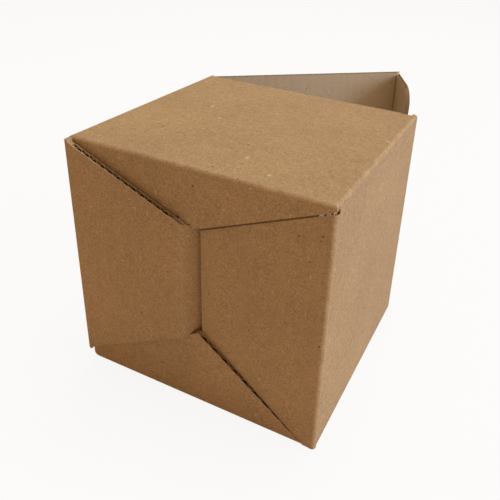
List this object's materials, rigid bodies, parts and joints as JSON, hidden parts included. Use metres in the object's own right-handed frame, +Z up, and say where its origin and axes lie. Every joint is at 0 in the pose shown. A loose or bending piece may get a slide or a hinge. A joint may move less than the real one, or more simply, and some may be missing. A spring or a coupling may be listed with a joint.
{
  "type": "tuck-top cardboard box",
  "caption": "Erected corrugated box lying on its side, with an interlocked snap-lock bottom, two dust flaps and a hinged tuck-top lid standing part open.",
  "frame": {"origin": "middle of the footprint of the box's underside, on the floor it lies on", "axes": "+Z up; +X to the right across the bottom-flap end; +Y from the bottom-flap end to the open lid end"},
  "size_m": [0.15, 0.2398, 0.148],
  "materials": {
    "kraft_board": "plain brown kraft liner on both faces of single-wall corrugated board"
  },
  "bodies": {
    "carton": {"carton": "kraft_board"},
    "lid": {"lid": "kraft_board"},
    "tuck_flap": {"tuck_flap": "kraft_board"}
  },
  "joints": [
    {"name": "lid_hinge", "type": "hinge", "parent": "carton", "child": "lid", "pos_m": [-0.075, 0.07175, 0.074], "axis": [0, 0, 1], "range_deg": [-41, 139]},
    {"name": "tuck_hinge", "type": "hinge", "parent": "lid", "child": "tuck_flap", "pos_m": [0.03579, 0.16806, 0.074], "axis": [0, 0, 1], "range_deg": [-4, 100]}
  ]
}
